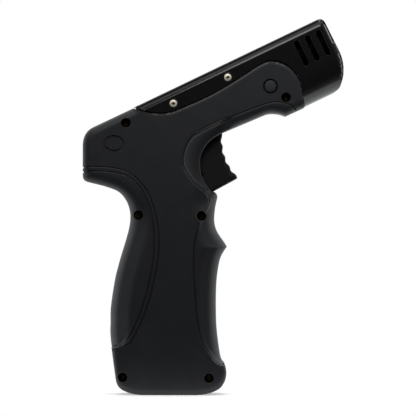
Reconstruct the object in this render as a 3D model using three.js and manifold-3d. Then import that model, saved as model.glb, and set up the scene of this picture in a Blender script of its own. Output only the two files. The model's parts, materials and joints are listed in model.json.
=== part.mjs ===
// A pistol-grip butane torch for jewellery soldering, in millimetres, +Z up.
// The origin is the middle of the flat base. The muzzle points towards +X, and the two casing
// halves meet on the plane Y = 0. The fuel tank fills the grip, the trigger slides parallel to
// the barrel, and the burner lies in the barrel under a glossy hood.
import * as THREE from "three";
import { mergeVertices } from "three/addons/utils/BufferGeometryUtils.js";
import Module from "manifold-3d";

const wasm = await Module();
wasm.setup();

// Driving dimensions.
const BARREL_TILT = THREE.MathUtils.degToRad(25.6);
const BURNER_AXIS_START = [-18.4, 0, 129.9]; // the barrel frame's origin, on the burner's axis
const CASE_HALF = 17; // half the casing's thickness, along Y
const CASE_WALL = 2.4;
const CASE_ROUNDING = 4;
const SEAM = 0.15; // half the gap between the two casing halves
const GAP = 0.3; // between neighbouring pieces
const HOOD_HALF = 16;
const HOOD_WALL = 2;
const HOOD_TOP = 12; // the barrel's top face, above the burner's axis
const HOOD_BOTTOM = -23.8;
const MUZZLE_X = 109.9; // along the burner's axis
const MUZZLE_RADIUS = 9.2;
const TRIGGER_HALF = 6.5;
const TRIGGER_TRAVEL = 7;
const TRIGGER_REAR_X = 22;
const TRIGGER_HEEL = 1.8; // how far the foot of the trigger reaches behind its rear face
const LOCK_TRAVEL = 2;

const SCREW = { head: 1.95, headHeight: 1.5, shank: 1.1, hole: 1.4, recess: 2.35, boss: 3 };
const BODY_SCREWS = [
  [-22.8, 135.3], // rear top
  [-16.7, 89.5], // behind the tank's neck
  [14.75, 89.1], // under the trigger
  [-24.4, 8.9], // base, rear
  [18.5, 8.5], // base, front
  [56.8, 147.9], // the lobe beside the hood
];
const HOOD_SCREWS_X = [23.8, 53.8]; // in the barrel frame
const HOOD_SCREW_Z = 5.2;
const LOCK_AT = [71, -7.9]; // in the barrel frame
const LOCK_BUTTON = { capRadius: 3.05, hole: 3.7, flangeRadius: 4.6, pinRadius: 1.5, pinEnd: -10 };
const VENTS_X = [91.9, 97.9, 103.9];
const VENT = { width: 2.75, length: 14, z: 0.3 };

const FOOT = { x: 15, y: 11, flangeLow: 3.4, top: 4.8 };
const LEVER_PIVOT = [7, 97];
const VALVE_X = 2;
const REFILL_X = -10;
const ADJUSTER_X = 10;
const TANK_TOP = 80;
const TANK_BOTTOM = 14;
const TANK_HALF = 12.6;
const TANK_WALL = 1.8;
const TANK_ROUNDING = 5;

const MATERIALS = {
  casing: { color: 0x2a2b2d, roughness: 0.55, metalness: 0 },
  hood: { color: 0x111214, roughness: 0.2, metalness: 0 },
  trigger: { color: 0x1a1b1c, roughness: 0.6, metalness: 0 },
  brass: { color: 0xc9a35a, roughness: 0.35, metalness: 1 },
  steel: { color: 0x9a9da0, roughness: 0.35, metalness: 1 },
  tank: { color: 0xd8d6cc, roughness: 0.4, metalness: 0 },
  nylon: { color: 0x3c3d3f, roughness: 0.6, metalness: 0 },
  ceramic: { color: 0xe9e6de, roughness: 0.5, metalness: 0 },
  rubber: { color: 0x1c1c1c, roughness: 0.8, metalness: 0 },
  hose: { color: 0xb9b4a2, roughness: 0.5, metalness: 0 },
  lead: { color: 0x8d1f1a, roughness: 0.5, metalness: 0 },
  wick: { color: 0xe4dfd0, roughness: 0.9, metalness: 0 },
};

// ---- Solids and booleans ----

function toSolid(geometry) {
  const plain = geometry.index ? geometry.toNonIndexed() : geometry.clone();
  plain.deleteAttribute("normal");
  plain.deleteAttribute("uv");
  const merged = mergeVertices(plain, 1e-4);
  return new wasm.Manifold(
    new wasm.Mesh({
      numProp: 3,
      vertProperties: merged.attributes.position.array,
      triVerts: new Uint32Array(merged.index.array),
    }),
  );
}

function toGeometry(solid) {
  const mesh = solid.getMesh();
  const geometry = new THREE.BufferGeometry();
  geometry.setAttribute("position", new THREE.BufferAttribute(mesh.vertProperties, 3));
  geometry.setIndex(new THREE.BufferAttribute(mesh.triVerts, 1));
  const flat = geometry.toNonIndexed();
  flat.computeVertexNormals();
  return flat;
}

function join(first, ...others) {
  return others.reduce((sum, geometry) => sum.add(toSolid(geometry)), toSolid(first));
}

// What is left of base when the tools are cut out of it.
function cut(base, ...tools) {
  const start = base.isBufferGeometry ? toSolid(base) : base;
  return tools.reduce((rest, tool) => rest.subtract(toSolid(tool)), start);
}

// ---- Plain shapes ----

// A plate whose outline lies in the XZ plane and whose thickness runs from yLow to yHigh.
// A rounding eases the outline's edges on both faces without growing the outline.
function plate(shape, yLow, yHigh, rounding = 0, curveSegments = 3) {
  const geometry = new THREE.ExtrudeGeometry(shape, {
    depth: yHigh - yLow - 2 * rounding,
    curveSegments,
    bevelEnabled: rounding > 0,
    bevelThickness: rounding,
    bevelSize: rounding,
    bevelOffset: -rounding,
    bevelSegments: 3,
  });
  return geometry.rotateX(Math.PI / 2).translate(0, yHigh - rounding, 0);
}

function polygon(points) {
  return new THREE.Shape(points.map(([x, z]) => new THREE.Vector2(x, z)));
}

// A box given by its low and high corners.
function box(low, high) {
  const size = high.map((value, i) => value - low[i]);
  const centre = high.map((value, i) => (value + low[i]) / 2);
  return new THREE.BoxGeometry(...size).translate(...centre);
}

// Round pieces, by the direction of their axis. at holds the two coordinates across the axis.
function rodY(radius, yLow, yHigh, at, sides = 16) {
  const rod = new THREE.CylinderGeometry(radius, radius, yHigh - yLow, sides);
  return rod.translate(at[0], (yLow + yHigh) / 2, at[1]);
}

function rodZ(radius, zLow, zHigh, at = [0, 0], sides = 16) {
  const rod = new THREE.CylinderGeometry(radius, radius, zHigh - zLow, sides);
  return rod.rotateX(Math.PI / 2).translate(at[0], at[1], (zLow + zHigh) / 2);
}

function rodX(radius, xLow, xHigh, at = [0, 0], sides = 16) {
  const rod = new THREE.CylinderGeometry(radius, radius, xHigh - xLow, sides);
  return rod.rotateZ(-Math.PI / 2).translate((xLow + xHigh) / 2, at[0], at[1]);
}

// A profile of [radius, height] turned about Z.
function turnedZ(profile, x = 0, sides = 20) {
  const points = profile.map(([radius, height]) => new THREE.Vector2(radius, height));
  return new THREE.LatheGeometry(points, sides).rotateX(Math.PI / 2).translate(x, 0, 0);
}

// The same profile turned about X, in the barrel frame.
function turnedX(profile, sides = 24) {
  const points = profile.map(([radius, along]) => new THREE.Vector2(radius, along));
  return new THREE.LatheGeometry(points, sides).rotateZ(-Math.PI / 2);
}

// A round tube or wire along a smooth route.
function wire(route, radius, steps, sides = 8) {
  const section = new THREE.Shape().absarc(0, 0, radius, 0, 2 * Math.PI);
  return new THREE.ExtrudeGeometry(section, {
    steps,
    curveSegments: sides / 2,
    extrudePath: route,
  });
}

function smoothRoute(points) {
  return new THREE.CatmullRomCurve3(points.map((p) => new THREE.Vector3(...p)));
}

// A compression spring along Z, with its end coils' centres half a wire inside its length.
function coilSpring(x, zLow, zHigh, radius, wireRadius, turns) {
  const length = zHigh - zLow - 2 * wireRadius;
  class Helix extends THREE.Curve {
    getPoint(t, target = new THREE.Vector3()) {
      const angle = 2 * Math.PI * turns * t;
      const z = zLow + wireRadius + length * t;
      return target.set(x + radius * Math.cos(angle), radius * Math.sin(angle), z);
    }
  }
  return wire(new Helix(), wireRadius, turns * 10, 4);
}

// ---- The barrel's tilted frame: X along the burner's axis, Z across it ----

const barrelMatrix = new THREE.Matrix4()
  .makeRotationY(-BARREL_TILT)
  .setPosition(...BURNER_AXIS_START);

function fromBarrel([x, z]) {
  const point = new THREE.Vector3(x, 0, z).applyMatrix4(barrelMatrix);
  return [point.x, point.z];
}

function tilted(geometry) {
  return geometry.applyMatrix4(barrelMatrix);
}

// ---- Outlines ----

// The joint line between casing and hood, in the barrel frame, from the top face to the underside.
function hoodSeam() {
  const points = [
    [4.8, 12],
    [11.5, 6],
    [19.5, 2.2],
    [28.4, 1.3],
    [43.9, 1.1],
    [60, 2.6],
    [70.2, 3.9],
    [77, 3.1],
    [82.9, -2.6],
    [85.2, -10.6],
    [83.5, -18.7],
    [81.8, -23.8],
  ];
  const curve = new THREE.SplineCurve(points.map(([x, z]) => new THREE.Vector2(x, z)));
  return curve.getPoints(26).map((p) => [p.x, p.y]);
}

// The whole torch seen from the side, in the row's frame.
function silhouette() {
  const shape = new THREE.Shape();
  const spline = (points) => shape.splineThru(points.map(([x, z]) => new THREE.Vector2(x, z)));
  shape.moveTo(...fromBarrel([MUZZLE_X, HOOD_TOP]));
  shape.lineTo(-39.5, 133);
  shape.quadraticCurveTo(-44.3, 130.7, -44.3, 124.8);
  shape.lineTo(-44.3, 109.5);
  shape.quadraticCurveTo(-44.3, 106.9, -41.5, 106.2);
  shape.lineTo(-33.7, 104.2);
  spline([
    [-25.5, 100.8],
    [-21, 93.5],
    [-20.8, 84],
    [-25.6, 66.7],
    [-30, 44],
    [-30.2, 28],
    [-27.9, 8.7],
  ]);
  shape.quadraticCurveTo(-26.4, 0.2, -15, 0);
  shape.lineTo(14, 0);
  shape.quadraticCurveTo(28.3, 0.5, 27, 10.7);
  shape.lineTo(24.1, 18.7);
  spline([
    [21.6, 40],
    [22.7, 62.7],
    [27.2, 73.6],
  ]);
  spline([
    [22.5, 80.7],
    [20.8, 88.7],
    [22.5, 98],
  ]);
  shape.lineTo(19, 101.6);
  spline([
    [15, 108.7],
    [14.3, 118.3],
    [18.3, 125.6],
    [24, 130.3],
  ]);
  shape.lineTo(46, 139.8);
  shape.quadraticCurveTo(51, 141.2, 56.7, 139);
  shape.lineTo(65.3, 143.6);
  shape.lineTo(...fromBarrel([MUZZLE_X, HOOD_BOTTOM]));
  return shape.getPoints(2).map((p) => [p.x, p.y]);
}

// A closed outline moved inwards: each corner goes along its bisector.
function inset(points, distance) {
  const corners = points.map(([x, z]) => new THREE.Vector2(x, z));
  const turnsLeft = THREE.ShapeUtils.area(corners) > 0 ? 1 : -1;
  return corners.map((corner, i) => {
    const before = corners[(i + corners.length - 1) % corners.length];
    const after = corners[(i + 1) % corners.length];
    const arriving = corner.clone().sub(before).normalize();
    const leaving = after.clone().sub(corner).normalize();
    const inwards = new THREE.Vector2(-arriving.y - leaving.y, arriving.x + leaving.x);
    inwards.multiplyScalar((turnsLeft * distance) / (1 + arriving.dot(leaving)));
    return [corner.x + inwards.x, corner.y + inwards.y];
  });
}

// ---- Casing halves ----

// Everything above the joint line, which the hood takes from the casing.
function hoodSpace(halfWidth) {
  const above = 40;
  const outline = [...hoodSeam(), [130, -30], [130, above], [0, above]];
  return plate(polygon(outline), -halfWidth, halfWidth);
}

// The way that the trigger slides through the casing's front.
function triggerChannel() {
  const half = TRIGGER_HALF + 2 * GAP;
  const rearEnd = TRIGGER_REAR_X - TRIGGER_HEEL - TRIGGER_TRAVEL - GAP;
  return box([rearEnd, -half, -43.1], [40.5, half, -9.5]);
}

// Screw pillars and lever sockets run from the casing's side wall inwards.
// side is -1 for the left half, which holds the screw heads, and 1 for the right half.
function pillar(side, at, radius, inner, outer) {
  const ends = [side * inner, side * outer].sort((a, b) => a - b);
  return rodY(radius, ends[0], ends[1], at);
}

function screwHoles(side, at) {
  const headFace = 11.2;
  const pilotDepth = 10;
  if (side > 0) return [pillar(side, at, SCREW.hole, 0, pilotDepth)];
  return [
    pillar(side, at, SCREW.hole, 0, CASE_HALF + 1),
    pillar(side, at, SCREW.recess, headFace, CASE_HALF + 1),
  ];
}

function baseOpening() {
  const x = FOOT.x + GAP;
  const y = FOOT.y + GAP;
  return box([-x, -y, -1], [x, y, FOOT.top]);
}

function lockHole() {
  const inside = -CASE_HALF + 2 * CASE_WALL;
  return tilted(rodY(LOCK_BUTTON.hole, -CASE_HALF - 1, inside, LOCK_AT, 24));
}

function casingHalf(side) {
  const outline = silhouette();
  const [yLow, yHigh] = side < 0 ? [-CASE_HALF - 1, -SEAM] : [SEAM, CASE_HALF + 1];
  const innerHalf = CASE_HALF - CASE_WALL;
  const [cutLow, cutHigh] = side < 0 ? [-innerHalf, 1] : [-1, innerHalf];
  const blank = toSolid(plate(polygon(outline), -CASE_HALF, CASE_HALF, CASE_ROUNDING));
  const halfSpace = toSolid(box([-60, yLow, -10], [120, yHigh, 200]));
  const hollow = toSolid(plate(polygon(inset(outline, CASE_WALL)), cutLow, cutHigh));
  const pillars = BODY_SCREWS.map((at) => pillar(side, at, SCREW.boss, SEAM, innerHalf + 0.5));
  const socket = pillar(side, LEVER_PIVOT, 2.8, 5, innerHalf + 0.5);
  const wall = blank.intersect(halfSpace).subtract(hollow);
  const ribbed = [...pillars, socket].reduce((sum, piece) => sum.add(toSolid(piece)), wall);
  const tools = [
    tilted(hoodSpace(CASE_HALF + 1)),
    tilted(triggerChannel()),
    baseOpening(),
    pillar(side, LEVER_PIVOT, 1.5, 4, 12),
    ...BODY_SCREWS.flatMap((at) => screwHoles(side, at)),
  ];
  if (side < 0) tools.push(lockHole());
  return toGeometry(cut(ribbed, ...tools));
}

// ---- Hood ----

// The hood's section across the barrel: a flat top with eased corners over a round bottom.
function hoodSection(grow) {
  const half = HOOD_HALF + grow;
  const top = HOOD_TOP + grow;
  const ease = 1.6;
  const roundCentre = HOOD_BOTTOM + HOOD_HALF;
  const shape = new THREE.Shape();
  shape.moveTo(half, roundCentre);
  shape.lineTo(half, top - ease);
  shape.lineTo(half - ease, top);
  shape.lineTo(ease - half, top);
  shape.lineTo(-half, top - ease);
  shape.lineTo(-half, roundCentre);
  shape.absarc(0, roundCentre, half, Math.PI, 2 * Math.PI);
  return shape;
}

// A section in the YZ plane pulled along X from xLow to xHigh.
function alongBarrel(section, xLow, xHigh) {
  const geometry = new THREE.ExtrudeGeometry(section, {
    depth: xHigh - xLow,
    bevelEnabled: false,
    curveSegments: 8,
  });
  return geometry.rotateX(Math.PI / 2).rotateZ(Math.PI / 2).translate(xLow, 0, 0);
}

// The hood seen from the side: a straight top, a flat muzzle face and a chin that curves back.
function hoodSideOutline(shrink) {
  const front = MUZZLE_X - shrink;
  const bottom = HOOD_BOTTOM + shrink;
  const shape = new THREE.Shape();
  shape.moveTo(0, bottom);
  shape.lineTo(96, bottom);
  shape.quadraticCurveTo(front - 3, bottom + 1.5, front, -8.5);
  shape.lineTo(front, HOOD_TOP - shrink - 2);
  shape.lineTo(front - 1.6, HOOD_TOP - shrink);
  shape.lineTo(0, HOOD_TOP - shrink);
  return shape;
}

function ventSlots() {
  const half = HOOD_HALF + 1;
  const end = VENT.length / 2 - VENT.width / 2;
  return VENTS_X.map((x) => {
    const shape = new THREE.Shape();
    shape.absarc(x, VENT.z + end, VENT.width / 2, 0, Math.PI);
    shape.absarc(x, VENT.z - end, VENT.width / 2, Math.PI, 2 * Math.PI);
    return plate(shape, -half, half);
  });
}

function hood() {
  const full = toSolid(alongBarrel(hoodSection(0), 0, MUZZLE_X + 1)).intersect(
    toSolid(plate(hoodSideOutline(0), -HOOD_HALF - 1, HOOD_HALF + 1, 0, 6)),
  );
  const hollow = toSolid(alongBarrel(hoodSection(-HOOD_WALL), -1, MUZZLE_X + 1)).intersect(
    toSolid(plate(hoodSideOutline(HOOD_WALL), -HOOD_HALF - 1, HOOD_HALF + 1, 0, 6)),
  );
  const casingSide = [...hoodSeam(), [81, -40], [-10, -40], [-10, 20]];
  const screwHolesThrough = HOOD_SCREWS_X.flatMap((x) => [
    rodY(SCREW.hole, -HOOD_HALF - 1, HOOD_HALF + 1, [x, HOOD_SCREW_Z], 12),
    rodY(SCREW.recess, -HOOD_HALF - 1, -HOOD_HALF + 0.9, [x, HOOD_SCREW_Z], 12),
    rodY(SCREW.recess, HOOD_HALF - 0.9, HOOD_HALF + 1, [x, HOOD_SCREW_Z], 12),
  ]);
  const kept = cut(
    full.subtract(hollow),
    plate(polygon(casingSide), -HOOD_HALF - 1, HOOD_HALF + 1).translate(GAP, 0, GAP),
    rodX(MUZZLE_RADIUS, MUZZLE_X - 5, MUZZLE_X + 1, [0, 0], 32),
    ...ventSlots(),
    ...screwHolesThrough,
  );
  return toGeometry(kept);
}

// ---- Screws ----

// A pan-head screw along Y, its head towards the side it is driven from.
function screw(side, at, headFace, length, headRadius = SCREW.head) {
  const outer = headFace + SCREW.headHeight;
  const slot = 0.35;
  const reach = headRadius * 0.65;
  const [x, z] = at;
  const blades = [
    [reach, slot],
    [slot, reach],
  ].map(([across, up]) => {
    const ends = [side * (outer - 0.7), side * (outer + 1)].sort((a, b) => a - b);
    return box([x - across, ends[0], z - up], [x + across, ends[1], z + up]);
  });
  const body = join(
    pillar(side, at, headRadius, headFace, outer),
    pillar(side, at, SCREW.shank, headFace - length, headFace + 0.2),
  );
  return toGeometry(cut(body, ...blades));
}

// ---- Trigger group ----

// The finger face is a shallow hollow with ridges across it.
function triggerOutline() {
  const top = -18.3;
  const bottom = -41.2;
  const hollow = { x: 34.9, z: -33, curvature: 0.018 };
  const ridge = { pitch: 5.15, height: 0.35, z: -24.5 };
  const steps = 24;
  const points = [];
  for (let i = 0; i <= steps; i++) {
    const z = top + ((bottom - top) * i) / steps;
    const face = hollow.x + hollow.curvature * (z - hollow.z) ** 2;
    points.push([face + ridge.height * Math.cos((2 * Math.PI * (z - ridge.z)) / ridge.pitch), z]);
  }
  const heelX = TRIGGER_REAR_X - TRIGGER_HEEL;
  points.push([heelX, -42.7], [heelX, -36.5], [TRIGGER_REAR_X, -36.5], [TRIGGER_REAR_X, -10], [34, -10]);
  return points;
}

// One moulding: the finger piece, a push finger for the valve lever, and a thin lock rail that
// runs forward beside the burner to a lug under the lock button.
function trigger() {
  const rail = { rear: 25, front: 76.5, outer: -7.2, inner: -5.5, low: -12.5, high: -6.2 };
  const lug = { rear: 73.5, front: 75.5, low: -9.4, high: -6.4 };
  const finger = { rear: 17.6, half: 2, low: -35, high: -29 };
  return toGeometry(
    join(
      plate(polygon(triggerOutline()), -TRIGGER_HALF, TRIGGER_HALF),
      box([finger.rear, -finger.half, finger.low], [TRIGGER_REAR_X + 1, finger.half, finger.high]),
      box([rail.rear, rail.outer, rail.low], [rail.front, rail.inner, rail.high]),
      box([lug.rear, rail.outer - LOCK_TRAVEL, lug.low], [lug.front, rail.inner, lug.high]),
    ),
  );
}

// A round button with a thin pin that reaches in towards the lock rail.
function lockButton() {
  const { capRadius, flangeRadius, pinRadius, pinEnd } = LOCK_BUTTON;
  const underWall = -CASE_HALF + CASE_WALL + GAP;
  const cap = rodY(capRadius, -CASE_HALF, underWall + 0.2, LOCK_AT, 24);
  const pin = rodY(pinRadius, underWall, pinEnd, LOCK_AT, 12);
  const flange = rodY(flangeRadius, underWall, underWall + 1, LOCK_AT, 24);
  return toGeometry(join(cap, pin, flange));
}

// The bell crank that turns the trigger's pull into a push on the valve.
function valveLever() {
  const [pivotX, pivotZ] = LEVER_PIVOT;
  const tip = [9.54, 107.5];
  const nose = [VALVE_X, pivotZ + 2];
  const half = 2.4;
  const upperArm = polygon([
    [pivotX - 2.1, pivotZ],
    [pivotX + 2.1, pivotZ],
    [tip[0] + 1.3, tip[1]],
    [tip[0] - 1.3, tip[1]],
  ]);
  const lowerArm = polygon([
    [pivotX, pivotZ - 0.5],
    [pivotX, pivotZ + 2.2],
    [nose[0], nose[1] + 1.7],
    [nose[0], nose[1] - 1.6],
  ]);
  const solid = join(
    rodY(2.2, -half, half, LEVER_PIVOT),
    plate(upperArm, -half, half),
    plate(lowerArm, -half, half),
    rodY(1.6, -half, half, tip),
    rodY(1.8, -half, half, nose),
  );
  return toGeometry(cut(solid, rodY(1.5, -half - 1, half + 1, LEVER_PIVOT)));
}

// ---- Igniter ----

const PIEZO = { xLow: -13, xHigh: 11, z: -22.5, half: 4.5, bore: 3.1, plunger: 2.7 };

function piezoBody() {
  const { xLow, xHigh, z, half, bore } = PIEZO;
  const shell = box([xLow, -half, z - half], [xHigh, half, z + half]);
  return toGeometry(cut(shell, rodX(bore, -6, xHigh + 1, [0, z])));
}

function piezoPlunger() {
  return rodX(PIEZO.plunger, 2, TRIGGER_REAR_X - GAP, [0, PIEZO.z]);
}

const INSULATOR = { xLow: 60, xHigh: 99, z: -7, radius: 1.1 };

function insulator() {
  const { xLow, xHigh, z, radius } = INSULATOR;
  return rodX(radius, xLow, xHigh, [0, z], 12);
}

// The spark wire leaves the ceramic and turns up in front of the burner's mouth.
function electrode() {
  const { xHigh, z } = INSULATOR;
  return wire(
    smoothRoute([
      [xHigh + GAP, 0, z],
      [104, 0, z],
      [107, 0, z + 0.4],
      [108, 0, -5],
      [107.6, 0, -3.4],
    ]),
    0.5,
    12,
  );
}

function ignitionLead() {
  const radius = 0.9;
  return wire(
    smoothRoute([
      [PIEZO.xLow - 0.7, 0, PIEZO.z],
      [PIEZO.xLow - 3, 1.5, PIEZO.z + 1],
      [-13, 8.5, -15],
      [0, 10.6, -9],
      [22, 11, -8],
      [42, 10.8, -8.5],
      [52, 6, -8],
      [INSULATOR.xLow - 0.8, 0, INSULATOR.z],
    ]),
    radius,
    40,
    6,
  );
}

// ---- Burner ----

function injector() {
  return turnedX([
    [0, 19],
    [1.2, 19],
    [1.2, 22],
    [4, 22],
    [4, 30],
    [2.2, 31],
    [2.2, 36],
    [1.1, 40],
    [0, 40],
  ]);
}

function mixingTube() {
  const wallPipe = turnedX([
    [3.5, 38.6],
    [3.5, 60],
    [2.7, 60],
    [2.7, 38.6],
    [3.5, 38.6],
  ]);
  const airHoles = [
    rodY(1.1, -6, 6, [43.5, 0], 10),
    rodZ(1.1, -6, 6, [43.5, 0], 10),
  ];
  return toGeometry(cut(wallPipe, ...airHoles));
}

function burnerTube() {
  return turnedX(
    [
      [3.8, 60.3],
      [5.5, 65],
      [5.5, 106],
      [4.8, 106],
      [4.8, 65.3],
      [2.9, 60.3],
      [3.8, 60.3],
    ],
    32,
  );
}

// A perforated disc in the burner tube, which the flame sits on.
function flameHolder() {
  const holeCircle = 3;
  const holes = [rodX(0.9, 90, 97, [0, 0], 10)];
  for (let i = 0; i < 6; i++) {
    const angle = (i * Math.PI) / 3;
    const at = [holeCircle * Math.cos(angle), holeCircle * Math.sin(angle)];
    holes.push(rodX(0.9, 90, 97, at, 10));
  }
  return toGeometry(cut(rodX(4.5, 92, 95.5, [0, 0], 24), ...holes));
}

// A sleeve between the burner and the hood, which keeps the heat off the plastic.
function heatGuard() {
  return turnedX(
    [
      [9, 86],
      [9, 109.4],
      [8.4, 109.4],
      [8.4, 86],
      [9, 86],
    ],
    32,
  );
}

// A top plate with two saddles: the hood screws into it, and it carries the injector and the
// mixing tube.
function barrelFrame() {
  const half = 13.4;
  const saddleHalf = 4;
  const [rear, front] = HOOD_SCREWS_X;
  const pilotEnd = 7.2;
  const solid = join(
    box([rear - saddleHalf, -half, 7], [front + saddleHalf, half, 9]),
    box([rear - saddleHalf, -half, -5], [rear + saddleHalf, half, 8]),
    box([front - saddleHalf, -half, -5], [front + saddleHalf, half, 8]),
  );
  const pilots = HOOD_SCREWS_X.flatMap((x) => [
    rodY(SCREW.hole, -half - 1, -pilotEnd, [x, HOOD_SCREW_Z], 12),
    rodY(SCREW.hole, pilotEnd, half + 1, [x, HOOD_SCREW_Z], 12),
  ]);
  return toGeometry(cut(solid, rodX(4.5, rear - 6, front + 6, [0, 0], 20), ...pilots));
}

// ---- Fuel tank and valves ----

const LID = { flangeHalf: 10, plugHalf: 7, flangeHeight: 3, plugDepth: 2.5 };

function tankOutline() {
  const shape = new THREE.Shape();
  shape.moveTo(19.4, TANK_BOTTOM);
  shape.quadraticCurveTo(17, 45, 19.2, 66);
  shape.lineTo(18, TANK_TOP);
  shape.lineTo(-17.6, TANK_TOP);
  shape.quadraticCurveTo(-25.5, 56, -27, 32);
  shape.lineTo(-24.8, TANK_BOTTOM);
  return shape.getPoints(5).map((p) => [p.x, p.y]);
}

function fuelTank() {
  const outline = tankOutline();
  const inner = TANK_HALF - TANK_WALL;
  const wall = plate(polygon(outline), -TANK_HALF, TANK_HALF, TANK_ROUNDING);
  const hollow = plate(polygon(inset(outline, TANK_WALL)), -inner, inner, TANK_ROUNDING - TANK_WALL);
  const solid = toSolid(wall).subtract(toSolid(hollow));
  const mouthHalf = LID.plugHalf + GAP;
  const mouth = box([-15, -mouthHalf, TANK_TOP - 8], [15.5, mouthHalf, TANK_TOP + 1]);
  return toGeometry(
    cut(
      solid,
      mouth,
      rodZ(3.4, TANK_BOTTOM - 1, TANK_BOTTOM + 4, [REFILL_X, 0]),
      rodZ(1.9, TANK_BOTTOM - 1, TANK_BOTTOM + 4, [ADJUSTER_X, 0]),
    ),
  );
}

function tankLid() {
  const low = TANK_TOP + GAP;
  const { flangeHalf, plugHalf, flangeHeight, plugDepth } = LID;
  const flange = box([-15.5, -flangeHalf, low], [16, flangeHalf, low + flangeHeight]);
  const plug = box([-14.5, -plugHalf, low - plugDepth], [15, plugHalf, low + 1]);
  return toGeometry(cut(join(flange, plug), rodZ(4.4, low - 4, low + 4, [VALVE_X, 0])));
}

function outletValveBody() {
  const turned = turnedZ(
    [
      [0, 75],
      [3, 75],
      [4, 76],
      [4, 91],
      [2.1, 91],
      [2.1, 77.2],
      [0, 77.2],
    ],
    VALVE_X,
  );
  const sidePort = rodY(1.2, -7, -3.5, [VALVE_X, 88], 10);
  return toGeometry(join(turned, sidePort));
}

function outletValveStem() {
  return turnedZ(
    [
      [0, 86],
      [1.8, 86],
      [1.8, 87.5],
      [1.3, 87.8],
      [1.3, 95],
      [2, 95.3],
      [2, 96.7],
      [0, 96.7],
    ],
    VALVE_X,
    16,
  );
}

function refillValveBody() {
  return turnedZ(
    [
      [2.2, 0.9],
      [4, 0.9],
      [4, 12],
      [3, 12],
      [3, 20],
      [0.9, 20],
      [0.9, 18.2],
      [2.2, 18.2],
      [2.2, 0.9],
    ],
    REFILL_X,
  );
}

function refillValveStem() {
  return turnedZ(
    [
      [0, 1.4],
      [1, 1.4],
      [1, 9],
      [1.9, 9],
      [1.9, 10.4],
      [0, 10.4],
    ],
    REFILL_X,
    16,
  );
}

// The slotted head in the base turns a needle that meters the gas.
function flowAdjuster() {
  const turned = turnedZ(
    [
      [0, 0.9],
      [4, 0.9],
      [4, 4],
      [1.5, 4.5],
      [1.5, 18],
      [0, 21],
    ],
    ADJUSTER_X,
  );
  const slot = box([ADJUSTER_X - 5, -0.5, 0], [ADJUSTER_X + 5, 0.5, 2]);
  return toGeometry(cut(turned, slot));
}

function sealRing(x, z, ringRadius, sectionRadius) {
  const ring = new THREE.TorusGeometry(ringRadius, sectionRadius, 6, 16);
  return ring.translate(x, 0, z);
}

function gasHose() {
  const [endX, endZ] = fromBarrel([18.7, 0]);
  return wire(
    smoothRoute([
      [VALVE_X, -7.8, 88],
      [VALVE_X, -10, 88.9],
      [0.6, -10.8, 99],
      [-4, -10.6, 112],
      [-9, -8, 123],
      [-10.4, -3, 131],
      [-7.2, 0, 135.1],
      [endX, 0, endZ],
    ]),
    1.6,
    32,
  );
}

// The foot closes the bottom: a step fills the opening between the halves, and a flange above
// the casing's floor keeps it in.
function basePlate() {
  const solid = join(
    box([-FOOT.x, -FOOT.y, 0], [FOOT.x, FOOT.y, FOOT.flangeLow + 0.5]),
    box([-FOOT.x - 1.5, -FOOT.y - 2, FOOT.flangeLow], [FOOT.x + 1.5, FOOT.y + 2, FOOT.top]),
  );
  return toGeometry(
    cut(solid, rodZ(4.4, -1, 6, [REFILL_X, 0]), rodZ(4.4, -1, 6, [ADJUSTER_X, 0])),
  );
}

// ---- Assembly ----

const torch = new THREE.Group();
const barrel = new THREE.Group();
barrel.applyMatrix4(barrelMatrix);
torch.add(barrel);

function addPiece(parent, name, material, geometry) {
  const piece = new THREE.Mesh(geometry, new THREE.MeshStandardMaterial(MATERIALS[material]));
  piece.name = name;
  parent.add(piece);
}

addPiece(torch, "casing_left", "casing", casingHalf(-1));
addPiece(torch, "casing_right", "casing", casingHalf(1));
addPiece(torch, "base_plate", "nylon", basePlate());
BODY_SCREWS.forEach((at, i) => {
  addPiece(torch, `casing_screw_${i + 1}`, "brass", screw(-1, at, 11.5, 20.5));
});

addPiece(barrel, "hood", "hood", hood());
addPiece(barrel, "barrel_frame", "nylon", barrelFrame());
for (const [sideName, side] of [["left", -1], ["right", 1]]) {
  HOOD_SCREWS_X.forEach((x, i) => {
    const place = ["rear", "front"][i];
    const fastener = screw(side, [x, HOOD_SCREW_Z], HOOD_HALF - 0.9 + GAP, 8);
    addPiece(barrel, `hood_screw_${sideName}_${place}`, "brass", fastener);
  });
}

addPiece(barrel, "trigger", "trigger", trigger());
addPiece(barrel, "lock_button", "trigger", lockButton());
addPiece(torch, "valve_lever", "steel", valveLever());
addPiece(torch, "lever_pin", "steel", rodY(1.2, -11.7, 11.7, LEVER_PIVOT, 12));

addPiece(barrel, "piezo_body", "nylon", piezoBody());
addPiece(barrel, "piezo_plunger", "steel", piezoPlunger());
addPiece(barrel, "ignition_lead", "lead", ignitionLead());
addPiece(barrel, "insulator", "ceramic", insulator());
addPiece(barrel, "electrode", "steel", electrode());

addPiece(barrel, "injector", "brass", injector());
addPiece(barrel, "mixing_tube", "brass", mixingTube());
addPiece(barrel, "burner_tube", "brass", burnerTube());
addPiece(barrel, "flame_holder", "steel", flameHolder());
addPiece(barrel, "heat_guard", "steel", heatGuard());

addPiece(torch, "fuel_tank", "tank", fuelTank());
addPiece(torch, "tank_lid", "tank", tankLid());
addPiece(torch, "wick", "wick", rodZ(1.2, 20, 74.7, [VALVE_X, 0], 10));
addPiece(torch, "outlet_valve_body", "brass", outletValveBody());
addPiece(torch, "outlet_valve_spring", "steel", coilSpring(VALVE_X, 77.5, 85.7, 1.45, 0.25, 6));
addPiece(torch, "outlet_valve_stem", "brass", outletValveStem());
addPiece(torch, "gas_hose", "hose", gasHose());

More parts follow.
